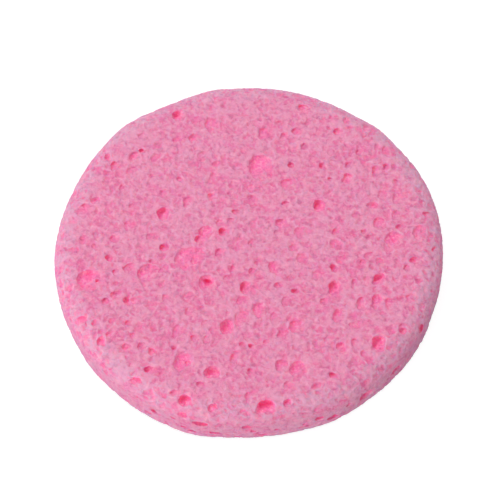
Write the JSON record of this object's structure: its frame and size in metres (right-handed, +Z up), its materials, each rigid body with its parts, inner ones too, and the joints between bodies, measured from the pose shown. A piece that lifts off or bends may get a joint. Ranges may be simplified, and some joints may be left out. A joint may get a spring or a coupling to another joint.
{
  "type": "facial cleansing sponge",
  "caption": "Round, flat open-cell cellulose sponge with soft rounded edges and scattered pores, held in the hand to cleanse the face.",
  "frame": {"origin": "middle of the underside, on the surface that the sponge rests on", "axes": "+Z up through the thickness, from the underside to the upper face; +X to the right and +Y away from the viewer in the picture"},
  "size_m": [0.0794, 0.0806, 0.01],
  "materials": {
    "cellulose": "matte"
  },
  "bodies": {
    "root": {"sponge": "cellulose"}
  },
  "joints": []
}
